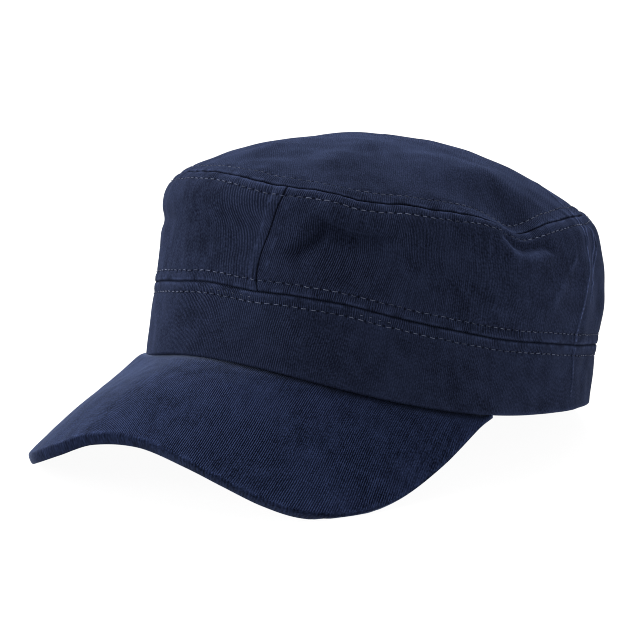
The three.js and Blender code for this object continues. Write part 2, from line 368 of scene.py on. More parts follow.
EDGE_STEPS = np.array([0, 0.05, 0.16, 0.34, 0.58, 0.8, 1.2, 1.7])  # close rows of the mesh beside a seam
ROW_STEP = 1.1
INNER_STRIDE = 5  # the hidden side has one row for this many of the outer side
LINE_STEPS = 61  # places at which the length of a line of cloth is measured


def spaced(length, step=ROW_STEP, high_sewn=True):
    """Distances along lines of cloth: close together at the sewn ends and even between them."""
    high = EDGE_STEPS if high_sewn else EDGE_STEPS[:1]
    middle = np.linspace(0, 1, int(length.max() / step))[1:-1]
    middle = EDGE_STEPS[-1] + (length - EDGE_STEPS[-1] - high[-1]) * middle
    return np.concatenate([EDGE_STEPS + 0 * length, middle, length - high[::-1]], -1)


def lines_of_cloth(angle_of, shares, low_row, high_row, reaches):
    """Angle, row and distance from the lower and upper ends on lines that run up a piece of cloth.
    angle_of says where a line is, and reaches picks distances for lines of given lengths."""
    share = np.asarray(shares)[:, None]
    low, high = (seam_place(row, angle_of(share, np.full_like(share, row))) for row in (low_row, high_row))
    row = low + (high - low) * np.linspace(0, 1, LINE_STEPS)
    run = run_along(skin(angle_of(share, row), row))
    reach = reaches(run[:, -1:])
    row = np.stack([np.interp(*line) for line in zip(reach, run, row)])
    return angle_of(share, row), row, reach, run[:, -1:] - reach


def right_round(share, row):
    """Lines that go right round the cap and meet at the back."""
    return -180 + 360 * share + 0 * row


# Over the wearer's left ear the top edge is pressed straight down, most of all between two rows.
PRESSED = {"angle": 83.6, "spread": 6.9, "depth": 3.5, "rows": (2.5, 3.5, 4.1, 4.9)}


def pressed_down(angle, row):
    """How far the cloth is pressed down there."""
    below, low, high, above = PRESSED["rows"]
    share = bell((angle - PRESSED["angle"]) / PRESSED["spread"])
    return PRESSED["depth"] * share * ramp(row, below, low) * ramp(row, above, high)


def on_cap(angle, row, height):
    """Points that far outside the smooth form, flattened where they lie on the table."""
    point = skin(angle, row) + skin_facing(angle, row) * height[..., None]
    point[..., 2] = np.maximum(point[..., 2] - pressed_down(angle, row), TABLE_Z)
    return point


MERGE_DISTANCE = 0.001  # points closer than this are joined


def add_grid(name, columns, rows):
    """A flat grid, and the column and row of each of its corners."""
    bpy.ops.object.select_all(action="DESELECT")
    bpy.ops.mesh.primitive_grid_add(x_subdivisions=columns - 1, y_subdivisions=rows - 1, size=1)
    piece = bpy.context.object
    piece.name = piece.data.name = name
    flat = np.empty(len(piece.data.vertices) * 3)
    piece.data.vertices.foreach_get("co", flat)
    x, y, _ = flat.reshape(-1, 3).T + 0.5
    return piece, np.rint(x * (columns - 1)).astype(int), np.rint(y * (rows - 1)).astype(int)


def corner_points(mesh):
    """The point at each corner of a mesh's faces."""
    points = np.empty(len(mesh.loops), int)
    mesh.loops.foreach_get("vertex_index", points)
    return points


def sew(name, points, cloth_map, stitch_map, wear_and_highlight, painted_shade, plain):
    """A closed piece of cloth from a table of points, with its two maps, worn places and painted highlights,
    painted shade in grooves and hollows, and places where the ridges are washed out. Lines that meet are
    joined, and open ends are closed."""
    piece, column, row = add_grid(name, *points.shape[:2])
    mesh = piece.data
    mesh.vertices.foreach_set("co", (points[column, row] * MM + shift).ravel())
    corner = corner_points(mesh)
    for layer in list(mesh.uv_layers):
        mesh.uv_layers.remove(layer)
    for label, values in (("cloth", cloth_map), ("stitching", stitch_map)):
        layer = mesh.uv_layers.new(name=label)
        layer.uv.foreach_set("vector", values[column, row][corner].ravel())
    for label, values in (("wear_and_highlight", wear_and_highlight), ("painted_shade", painted_shade), ("plain", plain)):
        mesh.attributes.new(label, "FLOAT", "POINT").data.foreach_set("value", values[column, row])
    bpy.ops.object.mode_set(mode="EDIT")
    bpy.ops.mesh.select_all(action="SELECT")
    bpy.ops.mesh.remove_doubles(threshold=MERGE_DISTANCE * MM)
    bpy.ops.mesh.delete_loose()
    bpy.ops.mesh.select_all(action="SELECT")
    bpy.ops.mesh.fill_holes(sides=0)
    bpy.ops.mesh.select_all(action="SELECT")
    bpy.ops.mesh.normals_make_consistent(inside=False)
    bpy.ops.object.mode_set(mode="OBJECT")
    bpy.ops.object.shade_smooth()
    return piece


def closed_section(outer, inner):
    """Rows of the outer side, then of the inner side back again, then the first row once more."""
    return np.concatenate([outer, inner[:, ::-1], outer[:, :1]], 1)


def sew_wall(name, angle, row, edge, *values):
    """A piece of cloth that follows the form of the cap, with the same values on both of its sides.
    edge is the detail at its seams, on the outer side only."""
    count = row.shape[1]
    inner = np.unique(np.append(np.arange(0, count, INNER_STRIDE), count - 1))
    form = form_height(angle, row, skin(angle, row))
    hidden = on_cap(angle[:, inner], row[:, inner], form[:, inner] - CLOTH)
    points = closed_section(on_cap(angle, row, form + edge), hidden)
    return sew(name, points, *(closed_section(value, value[:, inner]) for value in values))


class Wire:
    """A value that varies over a surface: the output of a shader node, with arithmetic."""

    def __init__(self, tree, socket):
        self.tree = tree
        self.socket = socket

    def math(self, operation, *values):
        return add_node(self.tree, "ShaderNodeMath", {"operation": operation}, dict(enumerate(values)))

    def __add__(self, other):
        return self.math("ADD", self, other)

    def __sub__(self, other):
        return self.math("SUBTRACT", self, other)

    def __rsub__(self, other):
        return self.math("SUBTRACT", other, self)

    def __mul__(self, other):
        return self.math("MULTIPLY", self, other)

    def __truediv__(self, other):
        return self.math("DIVIDE", self, other)

    def __pow__(self, other):
        return self.math("POWER", self, other)

    __radd__ = __add__
    __rmul__ = __mul__


def connect(node, inputs):
    """Sets a node's sockets, or links them to the outputs of others."""
    for socket, value in inputs.items():
        if isinstance(value, Wire):
            value.tree.links.new(value.socket, node.inputs[socket])
        else:
            node.inputs[socket].default_value = value


def add_node(tree, kind, settings=None, inputs=None, output=0):
    """One shader node with its settings, and its sockets set or linked."""
    node = tree.nodes.new(kind)
    for name, value in (settings or {}).items():
        setattr(node, name, value)
    connect(node, inputs or {})
    return Wire(tree, node.outputs[output])


def new_material(name):
    """A material, its tree of nodes and its surface."""
    material = bpy.data.materials.new(name)
    material.use_nodes = True
    return material, material.node_tree, material.node_tree.nodes["Principled BSDF"]


def map_axes(tree, label):
    """Both axes of one of a piece's maps."""
    place = add_node(tree, "ShaderNodeUVMap", {"uv_map": label})
    return [add_node(tree, "ShaderNodeSeparateXYZ", {}, {0: place}, axis) for axis in (0, 1)]


NAVY = np.array([0.0164, 0.0219, 0.0466, 1])
WORN_AND_LIT, SHADED = 5.5, 0.1  # shares of that colour in rubbed cloth and painted highlights, and in painted shade


def smooth_range(value, low, high, to_low=0.0, to_high=1.0):
    """The value carried smoothly from one range to another."""
    inputs = {"Value": value, "From Min": low, "From Max": high, "To Min": to_low, "To Max": to_high}
    return add_node(value.tree, "ShaderNodeMapRange", {"interpolation_type": "SMOOTHSTEP"}, inputs)


def blend(share, first, second):
    """One colour turning into another."""
    settings = {"data_type": "RGBA"}
    return add_node(share.tree, "ShaderNodeMix", settings, {0: share, 6: first, 7: second}, 2)


def sine(value):
    """A wave between 0 and 1 that repeats with every whole step of the value."""
    return 0.5 + 0.5 * value.math("SINE", value * 2 * np.pi)


# Sizes of the patterns in the cloth, in millimetres along the two axes of its map or across and along its
# ridges, and how far the ridges wander.
SWAY_SIZE, TREMBLE_SIZE = (19, 13), (3.5, 5)
FLECK_SIZE, STREAK_SIZE = (0.6, 1.0), (1.3, 11)
CLOUD_SIZE, WASH_SIZE, FADE_SIZE = (6.5, 6.5), (22, 22), (30, 30)
TICK_SIZE, TICK_STRAY_SIZE = 0.85, (5, 9)
YARN_SIZE = 1.05
SWAY, TREMBLE = 5, 0.35
HOLE_RADIUS, HOLE_DENT_RADIUS = 0.25, 0.75


def twill(name, lean, sway, contrast, spacing=0.78, beads=0.5, grain=0.8, streaks=0.0, tones=(0.34, 2.1),
          tint=(1, 1, 1), sheen=(0.063, 0.4), nap=(0.35, 0.48, 1), stitch_line=STITCH_LINE, pitch=3.6):
    """Washed twill: slanting ridges of yarn, worn pale on top, with flecks, fading and needle holes, paler
    places that are partly rubbed and partly painted highlight, and painted shade in the holes, grooves and
    hollows.
    lean is the ridges' angle from upright, in degrees, sway how far they wander, beads how much each
    crossing of the yarns shows, grain how flecked the cloth is, and streaks how uneven its yarns are.
    tones are the shares of navy in the valleys and on the ridges, tint shifts that navy, and sheen is the
    strength and roughness of the cloth's nap, whose colour is nap."""
    material, tree, surface = new_material(name)
    u, v = map_axes(tree, "cloth")
    phase, seam = map_axes(tree, "stitching")
    wear_and_highlight, painted_shade, plain = (
        add_node(tree, "ShaderNodeAttribute", {"attribute_name": label}, {}, 2)
        for label in ("wear_and_highlight", "painted_shade", "plain")
    )

    def noise(x, y, size, detail=2.0, offset=0):
        place = add_node(tree, "ShaderNodeCombineXYZ", {}, {0: x / size[0] + offset, 1: y / size[1]})
        inputs = {"Vector": place, "Scale": 1.0, "Detail": detail}
        return add_node(tree, "ShaderNodeTexNoise", {"noise_dimensions": "2D"}, inputs)

    slant = np.radians(lean)
    wander = sway * SWAY * (noise(u, v, SWAY_SIZE, 0.0) - 0.5) + TREMBLE * (noise(u, v, TREMBLE_SIZE) - 0.5)
    across = u * np.cos(slant) - v * np.sin(slant) + wander
    upward = u * np.sin(slant) + v * np.cos(slant)
    count = across / spacing
    ridge = sine(count)
    yarn = sine(upward / YARN_SIZE + 0.5 * count.math("FLOOR", count))
    fleck = noise(across, upward, FLECK_SIZE)
    streak = noise(across, upward, STREAK_SIZE, offset=3)
    cloud = noise(u, v, CLOUD_SIZE, offset=11)
    fade = noise(u, v, FADE_SIZE, 3.0)
    washed = (1 - plain) * smooth_range(noise(u, v, WASH_SIZE, 1.0, offset=7), 0.35, 0.62, 0.5, 1.0)

    # Needle holes along the row of stitches, and close ticks of pulled yarn between it and the seam.
    from_hole = phase.math("PINGPONG", phase, 0.5) * pitch
    from_row = seam - stitch_line
    from_hole = (from_hole * from_hole + from_row * from_row) ** 0.5
    hole = smooth_range(from_hole, HOLE_RADIUS, HOLE_DENT_RADIUS, 1.0, 0.0)
    hem = smooth_range(seam, stitch_line * 0.8, stitch_line * 1.2, 1.0, 0.0)
    tick = hem * sine(phase * (pitch / TICK_SIZE) + 1.5 * noise(u, v, TICK_STRAY_SIZE))

    # From the colour of the valleys to that of the ridges, then fading, rubbing and painted highlights, and
    # painted shade in the holes, grooves and hollows on top.
    valley, ridge_top, worn, shaded = (NAVY * (*np.multiply(tint, share), 1) for share in (*tones, WORN_AND_LIT, SHADED))
    weave = ridge * (1 - beads + beads * yarn) - 0.5 + 0.25 * beads
    weave = weave * (0.5 + fleck) * washed * (1.5 * contrast)
    uneven = grain * (fleck - 0.5) + streaks * (streak - 0.5) + 0.35 * (cloud - 0.5)
    pale = 0.37 + weave + uneven + 0.5 * (tick - 0.6 * hem)
    colour = blend(smooth_range(pale, 0.0, 1.0), valley, ridge_top)
    colour = blend(smooth_range(fade, 0.35, 0.75, 0.0, 0.2), colour, ridge_top)
    # Paler where rubbed and where highlights and sheen are painted, then painted shade in the needle holes,
    # grooves and hollows.
    colour = blend(wear_and_highlight * (0.5 + fleck), colour, worn)
    colour = blend(hole * 0.7, colour, shaded)
    colour = blend(painted_shade, colour, shaded)
    height = ridge * (0.7 + 0.3 * yarn) * washed + 0.6 * fleck + 0.6 * tick - 2.0 * hole
    bump = add_node(tree, "ShaderNodeBump", {}, {"Height": height, "Distance": 0.15 * MM, "Strength": 0.8})
    connect(surface, {
        "Base Color": colour,
        "Roughness": 0.97 - 0.12 * ridge,
        "Normal": bump,
        "Diffuse Roughness": 0.6,
        "Specular IOR Level": 0.01,
        "Sheen Weight": sheen[0],
        "Sheen Roughness": sheen[1],
        "Sheen Tint": (*nap, 1),
    })
    return material


def finish_piece(piece, material, node=None):
    """Gives a piece its cloth, fixes it to the cap and puts it in its solid's place."""
    piece.data.materials.clear()
    piece.data.materials.append(material)
    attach(piece, "root")
    if node:
        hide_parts(node)


SEAM_GROOVE, RIM_GROOVE = 1.1, 1.4  # widths of the shadow in a seam, and under the band over the peak
SEAM_LIP_WIDTH = 0.7
SEAM_LIP_WEAR, SEAM_STRIP_WEAR, RIM_WEAR = 0.2, 0.05, 0.12


def seam_groove(distance, width=SEAM_GROOVE):
    """Painted shade in the gap between two pieces of cloth."""
    return np.clip(1 - distance / width, 0, 1) ** 1.5


def seam_wear(distance, point, seed):
    """Pale rubbed cloth along a seam's rolled edge and its puckers."""
    lip = bell((distance - SEAM_ROLL) / SEAM_LIP_WIDTH)
    worn = SEAM_LIP_WEAR * lip + SEAM_STRIP_WEAR * strip(distance, STITCH_LINE)
    return patches(point, 7, seed, middle=0.55, swing=0.6) * worn


ROUND_COLUMNS = 600
RIM_ROLL = 1.2
PEAK_END, PEAK_END_FADE = 74, 8  # degrees from the front where the peak runs out under the band
RIM_SHADE = 0.8
BAND_CREASES = 0.6  # how much of the creases' wear and painted highlight reaches the band
BAND_RIDGES, BAND_RIDGES_FADE = 4, (5, 32)  # degrees where its ridges show best, and fade on both sides
BAND_PLAIN = 0.75


def band_edge(angle, low, high):
    """Height of the band's cloth beside its fold and its seam."""
    return rolled_edge(low, RIM_ROLL) + sewn_edge(angle, high, BAND_SEAM)


round_shares = with_close_columns(np.linspace(-180, 180, ROUND_COLUMNS)) / 360 + 0.5
angle, row, low, high = lines_of_cloth(right_round, round_shares, RIM, BAND_SEAM, spaced)
point = skin(angle, row)
wear_and_highlight = seam_wear(high, point, 31) + RIM_WEAR * bell(low / RIM_ROLL)
distance, phase = along_seam(BAND_SEAM, angle)
over_peak = ramp(np.abs(angle), PEAK_END, PEAK_END - PEAK_END_FADE)
band = sew_wall(
    "head_band", angle, row, band_edge(angle, low, high),
    np.stack([distance, low], -1),
    np.stack([phase, high], -1),
    wear_and_highlight + BAND_CREASES * crease_wear_and_highlight(angle, row, point),
    # painted shade in the seam, and a painted shadow along the rim where it lies over the peak
    np.maximum(seam_groove(high), RIM_SHADE * seam_groove(low, RIM_GROOVE) * over_peak),
    BAND_PLAIN * ramp(np.abs(angle - BAND_RIDGES), *BAND_RIDGES_FADE),
)
band_twill = twill(
    "band_twill", lean=9, sway=0.3, contrast=0.65, spacing=0.86, beads=0.25, pitch=STITCH_PITCH[BAND_SEAM]
)
finish_piece(band, band_twill, "band")

# The crown's wall is three panels of the same twill: a narrow one at the front and one at each side.
# They meet in plain upright seams, and are topstitched along the band below and the top panel above.

# The left front seam as (row, angle) places; the right one mirrors it.
FRONT_SEAM = [(1, 11.2), (1.3, 10.2), (1.6, 10.3), (2.1, 11.8), (2.6, 14), (3.3, 15.7), (4, 16.2)]
FRONT_SEAM_CURVE = np.polyfit(*np.transpose(FRONT_SEAM), 5)
UPRIGHT_ROLL = 0.6
ALLOWANCE = 3.4  # width of the turned cloth that shows through beside an upright seam
ALLOWANCE_RISE, ALLOWANCE_SLOPE = 0.16, 0.35
ALLOWANCE_WEAR, ALLOWANCE_WEAR_WIDTH = 0.25, 0.6
UPRIGHT_GROOVE = 0.7


def left_seam(row):
    return np.polyval(FRONT_SEAM_CURVE, row)


def right_seam(row):
    return -left_seam(row)


def back_seam(row):
    return 180 + 0 * row


def right_back_seam(row):
    return -back_seam(row)


def upright_edge(distance):
    """Height of cloth beside an upright seam: a small roll, and the turned cloth behind it."""
    turned = 0.5 - 0.5 * np.tanh((distance - ALLOWANCE) / ALLOWANCE_SLOPE)
    return rolled_edge(distance, UPRIGHT_ROLL) + ALLOWANCE_RISE * turned


def allowance_wear(distance, point):
    """Pale rubbed dots where the turned cloth behind an upright seam ends."""
    dots = patches(point, 3, 36, middle=0.4, swing=0.6)
    return ALLOWANCE_WEAR * dots * bell((distance - ALLOWANCE) / ALLOWANCE_WEAR_WIDTH)


def wall_edge(angle, low, high):
    """Height of the wall's cloth beside the seams below and above it."""
    return sewn_edge(angle, low, BAND_SEAM) + sewn_edge(angle, high, TOP_SEAM)


# The upright seams of each panel, how strongly each of them shows in relief, painted shade and wear, the
# lean, sway, spacing and contrast of its ridges, how far they are pulled aside half way up, and two angles
# between which they are washed out, with how much that is in the end.
PANELS = [
    {"name": "front", "from": right_seam, "to": left_seam, "dark": (0.15, 1), "lean": -4, "sway": 0.25,
     "spacing": 1.3, "contrast": 0.42, "pull": 2.5, "plain": (5, -13, 0.95)},
    {"name": "left", "from": left_seam, "to": back_seam, "dark": (1, 1), "lean": 13, "sway": 0.3,
     "spacing": 0.8, "contrast": 0.6, "pull": 0, "plain": (16, 75, 0.8)},
    {"name": "right", "from": right_back_seam, "to": right_seam, "dark": (1, 0.15), "lean": 12, "sway": 0.25,
     "spacing": 0.8, "contrast": 0.6, "pull": 0, "plain": (-200, -190, 0.75)},
]
PULL_HEIGHT = 28  # millimetres above the band's seam
PULL_WIDTH = 3.5
WALL_COLUMN_STEP = 1.0
WALL_STEPS = 400  # places at which the length of the wall is measured
TOP_SEAM_RUB = 1.3  # how much more the wall is rubbed at its upper seam
RIDGES_TURN = (46, 66)  # degrees between which the left panel's ridges turn upright
EAR_STRETCH = {"amount": 0.6, "front": (50, 74), "back": (125, 95)}


def weave_run(angle):
    """Distance round the wall as the weave counts it: it is stretched wider over the wearer's left ear."""
    run = run_along(skin(ROUND_ANGLES, BAND_SEAM))
    front, back = (ramp(ROUND_ANGLES, *EAR_STRETCH[side]) for side in ("front", "back"))
    stretch = 1 + EAR_STRETCH["amount"] * front * back
    return np.interp(angle, ROUND_ANGLES, np.cumsum(np.gradient(run) / stretch))


for panel in PANELS:
    def panel_angle(share, row, panel=panel):
        return panel["from"](row) + (panel["to"](row) - panel["from"](row)) * share

    fine = np.linspace(0, 1, WALL_STEPS)
    round_wall = panel_angle(fine, np.full(fine.shape, WALL_MIDDLE))
    run = run_along(skin(round_wall, WALL_MIDDLE))
    width = run[-1:]
    columns = with_close_columns(np.interp(spaced(width, WALL_COLUMN_STEP), run, round_wall))
    columns = columns[(columns >= round_wall[0]) & (columns <= round_wall[-1])]
    shares = np.interp(columns, round_wall, fine)
    angle, row, low, high = lines_of_cloth(panel_angle, shares, BAND_SEAM, TOP_SEAM, spaced)
    from_start = np.interp(shares, fine, run)[:, None] + 0 * row
    point = skin(angle, row)
    edge = wall_edge(angle, low, high)
    # Painted shade in the seams below and above and beside the tucks; the upright seams add theirs in the
    # loop that follows.
    painted_shade = np.maximum(np.maximum(seam_groove(low), seam_groove(high)), tuck_shade(angle, row, point))
    wear_and_highlight = seam_wear(low, point, 32) + TOP_SEAM_RUB * seam_wear(high, point, 33)
    wear_and_highlight = wear_and_highlight + crease_wear_and_highlight(angle, row, point)
    for distance, dark in zip((from_start, width - from_start), panel["dark"]):
        edge = edge + dark * upright_edge(distance)
        painted_shade = np.maximum(painted_shade, dark * seam_groove(distance, UPRIGHT_GROOVE))
        wear_and_highlight = wear_and_highlight + dark * allowance_wear(distance, point)
    low_phase, high_phase = (along_seam(seam, angle)[1] for seam in (BAND_SEAM, TOP_SEAM))
    pulled = panel["pull"] * np.tanh((low - PULL_HEIGHT) / PULL_WIDTH)
    upright = low * np.tan(np.radians(panel["lean"])) * ramp(angle, *RIDGES_TURN)
    first, last, most = panel["plain"]
    wall = sew_wall(
        "crown_wall_" + panel["name"], angle, row, edge,
        np.stack([weave_run(angle) + pulled + upright, low], -1),
        np.moveaxis(np.where(low < high, (low_phase, low), (high_phase, high)), 0, -1),
        wear_and_highlight,
        painted_shade,
        most * ramp(angle, first, last),
    )
    weave = {key: panel[key] for key in ("lean", "sway", "spacing", "contrast")}
    material = twill("wall_twill_" + panel["name"], beads=0.2, streaks=0.3, **weave)
    finish_piece(wall, material, "crown_" + panel["name"])

# The top of the crown is one oval panel, softly domed, of the same twill.
# It is sewn to the wall in a rolled seam and topstitched just inside it.

TOP_STITCH_LINE = 5.4
TOP_ROW_STEP = 1.5
TOP_HIGHLIGHT = {"angle": 58, "spread": 17, "row": 4.72, "rise": 0.36, "amount": 0.1}  # a painted highlight where the lit side of a ridge shows, at its palest place


def top_edge(angle, low, high):
    """Height of the top's cloth beside its seam."""
    return sewn_edge(angle, low, TOP_SEAM, TOP_STITCH_LINE)


angle, row, low, high = lines_of_cloth(
    right_round, round_shares, TOP_SEAM, CENTRE, lambda length: spaced(length, TOP_ROW_STEP, high_sewn=False)
)
point = skin(angle, row)
# A painted highlight on the top, where the lit side of a ridge shows.
top_highlight = TOP_HIGHLIGHT["amount"] * bell((angle - TOP_HIGHLIGHT["angle"]) / TOP_HIGHLIGHT["spread"])
top_highlight = top_highlight * bell((row - TOP_HIGHLIGHT["row"]) / TOP_HIGHLIGHT["rise"])
top = sew_wall(
    "crown_top_panel", angle, row, top_edge(angle, low, high),
    point[..., :2],
    np.stack([along_seam(TOP_SEAM, angle)[1], low], -1),
    seam_wear(low, point, 34) + crease_wear_and_highlight(angle, row, point) + top_highlight,
    seam_groove(low),
    0 * row,
)
top_twill = twill(
    "top_twill", lean=-35, sway=0.3, contrast=0.15, sheen=(0.12, 0.35), stitch_line=TOP_STITCH_LINE
)
finish_piece(top, top_twill, "crown_top")

# The peak is a padded sheet covered in twill, sewn under the band and bent down at both sides.
# Its cloth is wrapped round the outer edge, and a strip of it is turned up inside the band and sewn there.

PEAK_SEAT = 1.7  # how far it reaches in under the band
PEAK_GAP = 0.3  # clearance under the band
PEAK_THICKNESS = 4.8
PEAK_END_THICKNESS = 1.8
PEAK_TAPER_FROM = 0.75
PEAK_CROWNING = 4.5
PEAK_FLATTENING = 0.15  # how much flatter it is at its right
PEAK_LIP = 1.3
PEAK_LIP_SHAPE = 0.5  # below 1 the edge is squarer than a half round
PEAK_PROUD = 0.4
PEAK_SLACK = [(0.22, 40), (0.05, 9)]  # height and size of its soft waves
PEAK_FREE = 6  # distance from the seat where it has its full height
LIP_DROP = 1.2  # how far the lip's under side turns straight down
LIP_ROUNDING = 0.4
PEAK_FLANGE = [(0.35, 0.2), (0.55, 2.6), (1.5, 2.6), (1.3, -0.8)]  # its turned-up strip, inwards and up
PEAK_COLUMNS = 320
EDGE_PLACES = 2001  # places at which the length of its edge is measured
PEAK_EDGE = [
    (-83.2, -26.5, 25), (-87, -66, 13.2), (-86, -90, 6), (-81.2, -112, 4.4), (-72, -130.5, 6.4),
    (-60.5, -140.6, 10.6), (-44, -146.4, 17.2), (-24, -148.4, 25), (0, -148.2, 27.3),
    (23.7, -147.4, 22.3), (41.6, -144.2, 15.9), (56.5, -137.2, 8.8), (67.8, -128, 4.1),
    (77.7, -111.2, 1.8), (83.2, -89.3, 4.1), (85.4, -63.3, 12.4), (83.2, -26.5, 25.6),
]

# Degrees between which the peak changes along its length; the wearer's left is above 0.
# The change named rubbed marks where the painted sheen pales the right side.
PEAK_CHANGES = {
    "flatter": (-10, -30), "swollen": (-20, -54), "past_the_end": (-PEAK_END, -60), "lip_down": (22, -25),
    "lip_round": (-15, -35), "rubbed": (-12, -40), "paler_seam": (-34, -42), "plain_right": (4, -34),
    "plain_left": (16, 50),
}


def evenly_along(points, count):
    """That many points spaced evenly along a smooth curve through the given points."""
    place = np.linspace(0, len(points) - 1, EDGE_PLACES)
    fine = curve_through(np.array(points, float)[:, None].repeat(len(place), 1), place)
    run = run_along(fine)
    at = np.linspace(0, run[-1], count)
    return np.stack([np.interp(at, run, fine[:, k]) for k in range(3)], -1)


def unit(vectors):
    """The same directions with length 1."""
    return vectors / np.linalg.norm(vectors, axis=-1, keepdims=True)


outer = evenly_along(PEAK_EDGE, PEAK_COLUMNS)
angle = np.linspace(-PEAK_END, PEAK_END, PEAK_COLUMNS)
change = {what: ramp(angle, *between) for what, between in PEAK_CHANGES.items()}
inward = -unit(skin_facing(angle, np.full(PEAK_COLUMNS, RIM, float)) * (1, 1, 0))
seat = skin(angle, RIM) + inward * PEAK_SEAT - (0, 0, PEAK_GAP)
width = np.linalg.norm(outer - seat, axis=1)
front_width = OVALS["rim"][2] - min(y for _, y, _ in PEAK_EDGE)
crowning = PEAK_CROWNING * np.minimum(width / front_width, 1) * (1 - PEAK_FLATTENING * change["flatter"])

# On its right side the cloth of the peak swells up beside the band.
PEAK_SWELL = 4.1
PEAK_SWELL_PLACE = 0.11  # share of the way to the outer edge
peak_swell = PEAK_SWELL * change["swollen"] * change["past_the_end"]

# From the seat to the outer edge over the top, in closer rows near the edge, and back again underneath.
top_share = np.concatenate([np.linspace(0, 0.84, 38), np.linspace(0.86, 1, 14)])
under_share = np.linspace(1, 0, 18)
lip_turn = np.linspace(0, np.pi, 11)


def peak_face(share):
    """The peak's sheet at shares of the way from its seat to its outer edge."""
    point = seat[:, None] + (outer - seat)[:, None] * share[:, None]
    point[..., 2] += crowning[:, None] * 4 * share * (1 - share)
    swell = share / PEAK_SWELL_PLACE
    point[..., 2] += peak_swell[:, None] * swell * np.exp(1 - swell)
    return point


def peak_facing(point):
    """The directions in which a sheet of points faces."""
    return unit(np.cross(np.gradient(point, axis=1), np.gradient(point, axis=0)))


end_share = np.abs(np.linspace(-1, 1, PEAK_COLUMNS))
taper = ramp(end_share, PEAK_TAPER_FROM, 1)
thickness = (PEAK_THICKNESS + (PEAK_END_THICKNESS - PEAK_THICKNESS) * taper)[:, None]
body = thickness / PEAK_THICKNESS

upper = peak_face(top_share)
from_seat = top_share * width[:, None]
from_edge = (1 - top_share) * width[:, None]
soft = sum(rise * waves(upper, size, seed) for seed, (rise, size) in enumerate(PEAK_SLACK, 3)) * body
free = np.clip(from_seat / PEAK_FREE, 0, 1)
upper = upper + peak_facing(upper) * ((PEAK_PROUD * body + soft) * free)[..., None]
lower = peak_face(under_share)
downward = unit(peak_facing(lower) - np.array([0, 0, LIP_DROP]) * change["lip_down"][:, None, None])
lower = lower + downward * thickness[..., None]
rim_top = upper[:, -1]
rim_low = lower[:, 0]
outward = unit(upper[:, -1] - upper[:, -3])
half = (rim_top - rim_low) / 2
lip_shape = PEAK_LIP_SHAPE + LIP_ROUNDING * change["lip_round"][:, None]
lip_height = np.sign(np.cos(lip_turn)) * np.abs(np.cos(lip_turn)) ** lip_shape
lip = (rim_top + rim_low)[:, None] / 2 + half[:, None] * lip_height[..., None]
lip = lip + outward[:, None] * (PEAK_LIP * body * np.sin(lip_turn) ** lip_shape)[..., None]
flange = np.stack([seat + inward * inner + (0, 0, rise) for inner, rise in PEAK_FLANGE], 1)
points = np.concatenate([flange[:, 1::-1], upper, lip, lower, flange[:, :1:-1], flange[:, 1:2]], 1)
points[..., 2] = np.maximum(points[..., 2], TABLE_Z)

# The twill lies as on the flat sheet before it was bent: the peak unrolled, one thin strip at a time.


def third_corner(first, second, from_first, from_second):
    """The flat place at those distances from two others, on one side of the way between them."""
    span = np.linalg.norm(second - first)
    axis = (second - first) / span
    along = (from_first**2 - from_second**2 + span**2) / (2 * span)
    aside = np.array([-axis[1], axis[0]]) * np.sqrt(max(from_first**2 - along**2, 0))
    return first + axis * along + aside


def unrolled(near, far):
    """Both edges of a bent sheet laid flat, from its middle line towards one end."""
    across = np.linalg.norm(far - near, axis=1)
    slanting = np.linalg.norm(near[1:] - far[:-1], axis=1)
    near_steps, far_steps = (np.linalg.norm(np.diff(edge, axis=0), axis=1) for edge in (near, far))
    flat = [(np.zeros(2), np.array([0, -across[0]]))]
    for k in range(len(near) - 1):
        near_spot, far_spot = flat[-1]
        near_next = third_corner(near_spot, far_spot, near_steps[k], slanting[k])
        flat.append((near_next, third_corner(near_next, far_spot, across[k + 1], far_steps[k])))
    return np.array(flat)


middle = PEAK_COLUMNS // 2
towards_left = unrolled(seat[middle:], outer[middle:])
towards_right = unrolled(seat[middle::-1], outer[middle::-1]) * (-1, 1)
flat = np.concatenate([towards_right[:0:-1], towards_left])
share = np.concatenate([[0, 0], top_share, 1 + 0 * lip_turn, under_share, [0, 0, 0]])
on_top = slice(2, 2 + len(top_share))
on_lip = slice(on_top.stop, on_top.stop + len(lip_turn))
underneath = slice(on_lip.stop, None)

# The ridges of the twill bend a little towards the outer edge, and go straight down over the lip.
# The edge is rubbed, a painted sheen pales the right side, and painted shade darkens the cloth in the seam,
# on the lip and underneath.
PEAK_LEAN = -17  # degrees
PEAK_DRIFT = 0.004
PEAK_DRIFT_FROM = 20  # millimetres from the seat
LIP_CLOSENESS = 0.62  # how close the ridges are on the lip, which stretches them
NO_STITCHES = (0.5, 40)  # a place on the map of the stitches that is far from any
# The rubbed edge, and a painted sheen that pales the peak's right side where light grazes it.
EDGE_RUBBED, EDGE_RUBBED_WIDTH, RIGHT_PAINTED_SHEEN = 0.16, 0.7, 0.1
